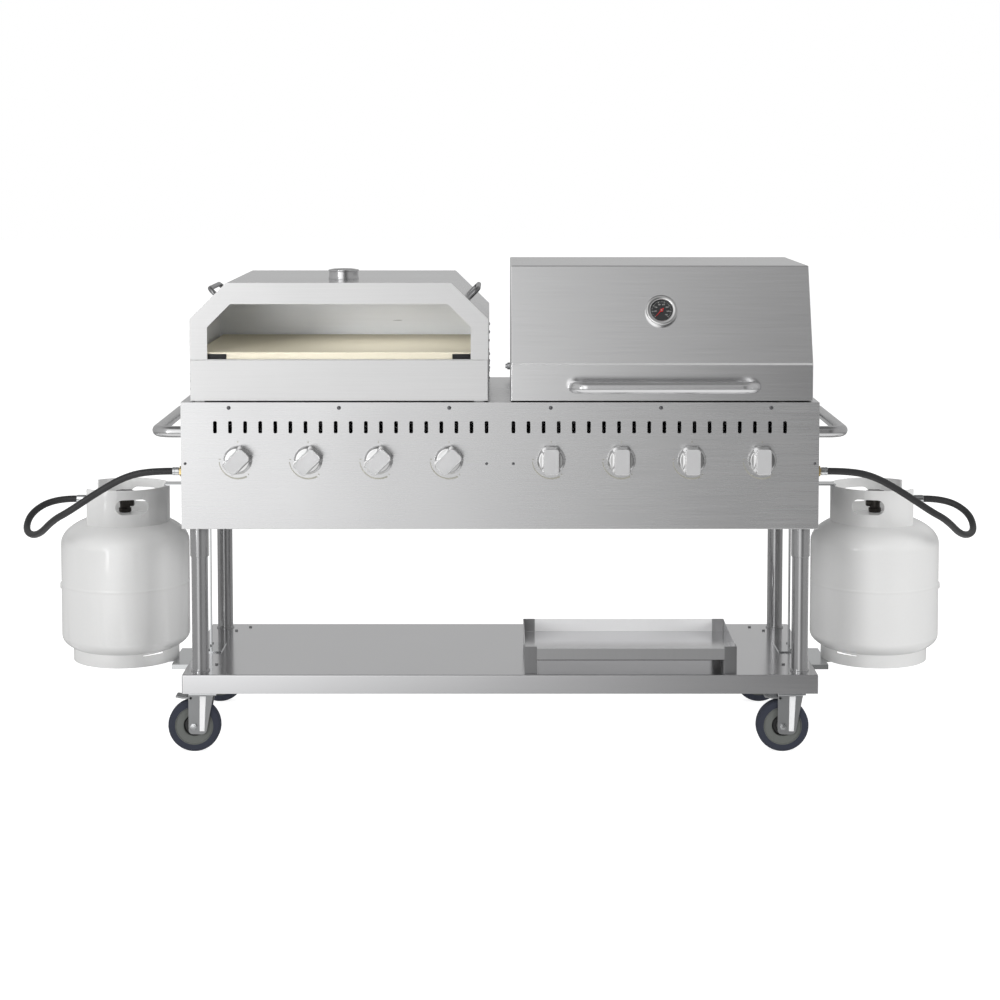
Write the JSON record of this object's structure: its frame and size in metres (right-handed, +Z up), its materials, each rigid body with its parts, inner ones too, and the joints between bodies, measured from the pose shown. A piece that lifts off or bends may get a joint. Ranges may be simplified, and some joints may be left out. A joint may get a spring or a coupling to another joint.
{
  "type": "gas grill",
  "caption": "Outdoor gas grill on a caster stand, with a lift-off pizza oven on one bay, a hinged hood on the other and a propane tank at each end.",
  "frame": {"origin": "on the floor, under the middle of the grill's bounding box without its hoses", "axes": "+X to the right of someone facing the control panel, +Y to the rear, +Z up"},
  "size_m": [2.3734, 0.662, 1.176],
  "materials": {
    "brushed_sheet": "fine horizontal brushing",
    "polished_steel": "polished",
    "zinc_plate": "zinc plated",
    "white_enamel": "gloss white enamel",
    "fired_stone": "matt fired stone",
    "grate_iron": "seasoned black",
    "brass": "plain",
    "blackened_brass": "blackened",
    "black_rubber": "satin black",
    "tyre_rubber": "blue-black, matt",
    "grey_plastic": "grey moulding",
    "black_plastic": "black moulding",
    "gauge_chrome": "polished case with a black dial",
    "needle_paint": "red"
  },
  "bodies": {
    "frame": {"undershelf": "brushed_sheet", "legs": "polished_steel", "caster_plates": "zinc_plate", "control_panel": "brushed_sheet", "fasteners": "polished_steel", "burner_box": "brushed_sheet", "rear_panel": "brushed_sheet", "top_frame": "brushed_sheet", "gas_manifold": "zinc_plate", "gas_valves": "brass", "burners": "polished_steel", "heat_plates": "brushed_sheet", "cooking_grates": "grate_iron", "push_handles": "polished_steel", "propane_tanks": "white_enamel", "tank_rings": "white_enamel", "tank_valves": "blackened_brass", "gas_fittings": "brass", "tank_brackets": "polished_steel", "hose_left": "black_rubber", "hose_right": "black_rubber"},
    "hood": {"hood_shell": "brushed_sheet", "hood_handle": "polished_steel", "hinge_bolts": "polished_steel", "thermometer_case": "gauge_chrome"},
    "needle": {"thermometer_needle": "needle_paint"},
    "oven": {"oven_base": "brushed_sheet", "oven_fascia": "brushed_sheet", "oven_roof": "brushed_sheet", "oven_vent_cap": "polished_steel", "pizza_stone": "fired_stone", "stone_clips": "polished_steel", "oven_handles": "polished_steel"},
    "loose_tray": {"shelf_tray": "brushed_sheet"},
    "drip_left": {"drip_tray_left": "brushed_sheet"},
    "drip_right": {"drip_tray_right": "brushed_sheet"},
    "valve_wheel_left": {"handwheel_left": "black_plastic"},
    "valve_wheel_right": {"handwheel_right": "black_plastic"},
    "knob_1": {"knob_1": "polished_steel"},
    "knob_2": {"knob_2": "polished_steel"},
    "knob_3": {"knob_3": "polished_steel"},
    "knob_4": {"knob_4": "polished_steel"},
    "knob_5": {"knob_5": "polished_steel"},
    "knob_6": {"knob_6": "polished_steel"},
    "knob_7": {"knob_7": "polished_steel"},
    "knob_8": {"knob_8": "polished_steel"},
    "fork_front_left": {"caster_fork_front_left": "zinc_plate"},
    "wheel_front_left": {"caster_tyre_front_left": "tyre_rubber", "caster_hub_front_left": "grey_plastic"},
    "brake_front_left": {"caster_brake_front_left": "zinc_plate"},
    "fork_front_right": {"caster_fork_front_right": "zinc_plate"},
    "wheel_front_right": {"caster_tyre_front_right": "tyre_rubber", "caster_hub_front_right": "grey_plastic"},
    "brake_front_right": {"caster_brake_front_right": "zinc_plate"},
    "fork_rear_left": {"caster_fork_rear_left": "zinc_plate"},
    "wheel_rear_left": {"caster_tyre_rear_left": "tyre_rubber", "caster_hub_rear_left": "grey_plastic"},
    "fork_rear_right": {"caster_fork_rear_right": "zinc_plate"},
    "wheel_rear_right": {"caster_tyre_rear_right": "tyre_rubber", "caster_hub_rear_right": "grey_plastic"}
  },
  "joints": [
    {"name": "hood_hinge", "type": "hinge", "parent": "frame", "child": "hood", "pos_m": [0.387, 0.266, 0.889], "axis": [-1, 0, 0], "range_deg": [0, 95]},
    {"name": "needle_turn", "type": "hinge", "parent": "hood", "child": "needle", "pos_m": [0.388, -0.20706, 1.0679], "axis": [0, -0.92, 0.392], "range_deg": [-270, 0]},
    {"name": "oven_lift", "type": "slide", "parent": "frame", "child": "oven", "axis": [0, 0, 1], "range_m": [0, 0.35]},
    {"name": "loose_tray_slide", "type": "slide", "parent": "frame", "child": "loose_tray", "axis": [0, -1, 0], "range_m": [0, 0.4]},
    {"name": "drip_left_slide", "type": "slide", "parent": "frame", "child": "drip_left", "axis": [0, 1, 0], "range_m": [0, 0.4]},
    {"name": "valve_wheel_left_turn", "type": "hinge", "parent": "frame", "child": "valve_wheel_left", "pos_m": [-0.946, 0.012, 0.6], "axis": [0, 0, 1], "range_deg": [0, 540]},
    {"name": "drip_right_slide", "type": "slide", "parent": "frame", "child": "drip_right", "axis": [0, 1, 0], "range_m": [0, 0.4]},
    {"name": "valve_wheel_right_turn", "type": "hinge", "parent": "frame", "child": "valve_wheel_right", "pos_m": [0.946, 0.012, 0.6], "axis": [0, 0, 1], "range_deg": [0, 540]},
    {"name": "knob_1_turn", "type": "hinge", "parent": "frame", "child": "knob_1", "pos_m": [-0.626, -0.269, 0.717], "axis": [0, -1, 0], "range_deg": [-135, 45]},
    {"name": "knob_2_turn", "type": "hinge", "parent": "frame", "child": "knob_2", "pos_m": [-0.458, -0.269, 0.717], "axis": [0, -1, 0], "range_deg": [-135, 45]},
    {"name": "knob_3_turn", "type": "hinge", "parent": "frame", "child": "knob_3", "pos_m": [-0.29, -0.269, 0.717], "axis": [0, -1, 0], "range_deg": [-135, 45]},
    {"name": "knob_4_turn", "type": "hinge", "parent": "frame", "child": "knob_4", "pos_m": [-0.122, -0.269, 0.717], "axis": [0, -1, 0], "range_deg": [-135, 45]},
    {"name": "knob_5_turn", "type": "hinge", "parent": "frame", "child": "knob_5", "pos_m": [0.122, -0.269, 0.717], "axis": [0, -1, 0], "range_deg": [0, 180]},
    {"name": "knob_6_turn", "type": "hinge", "parent": "frame", "child": "knob_6", "pos_m": [0.29, -0.269, 0.717], "axis": [0, -1, 0], "range_deg": [0, 180]},
    {"name": "knob_7_turn", "type": "hinge", "parent": "frame", "child": "knob_7", "pos_m": [0.458, -0.269, 0.717], "axis": [0, -1, 0], "range_deg": [0, 180]},
    {"name": "knob_8_turn", "type": "hinge", "parent": "frame", "child": "knob_8", "pos_m": [0.626, -0.269, 0.717], "axis": [0, -1, 0], "range_deg": [0, 180]},
    {"name": "swivel_front_left", "type": "hinge", "parent": "frame", "child": "fork_front_left", "pos_m": [-0.713, -0.224, 0.15], "axis": [0, 0, 1], "continuous": true},
    {"name": "roll_front_left", "type": "hinge", "parent": "fork_front_left", "child": "wheel_front_left", "pos_m": [-0.741, -0.224, 0.0635], "axis": [0, 1, 0], "continuous": true},
    {"name": "brake_front_left_press", "type": "hinge", "parent": "fork_front_left", "child": "brake_front_left", "pos_m": [-0.748, -0.224, 0.133], "axis": [0, -1, 0], "range_deg": [0, 20]},
    {"name": "swivel_front_right", "type": "hinge", "parent": "frame", "child": "fork_front_right", "pos_m": [0.713, -0.224, 0.15], "axis": [0, 0, 1], "continuous": true},
    {"name": "roll_front_right", "type": "hinge", "parent": "fork_front_right", "child": "wheel_front_right", "pos_m": [0.685, -0.224, 0.0635], "axis": [0, 1, 0], "continuous": true},
    {"name": "brake_front_right_press", "type": "hinge", "parent": "fork_front_right", "child": "brake_front_right", "pos_m": [0.678, -0.224, 0.133], "axis": [0, -1, 0], "range_deg": [0, 20]},
    {"name": "swivel_rear_left", "type": "hinge", "parent": "frame", "child": "fork_rear_left", "pos_m": [-0.713, 0.251, 0.15], "axis": [0, 0, 1], "continuous": true},
    {"name": "roll_rear_left", "type": "hinge", "parent": "fork_rear_left", "child": "wheel_rear_left", "pos_m": [-0.741, 0.251, 0.0635], "axis": [0, 1, 0], "continuous": true},
    {"name": "swivel_rear_right", "type": "hinge", "parent": "frame", "child": "fork_rear_right", "pos_m": [0.713, 0.251, 0.15], "axis": [0, 0, 1], "continuous": true},
    {"name": "roll_rear_right", "type": "hinge", "parent": "fork_rear_right", "child": "wheel_rear_right", "pos_m": [0.685, 0.251, 0.0635], "axis": [0, 1, 0], "continuous": true}
  ]
}
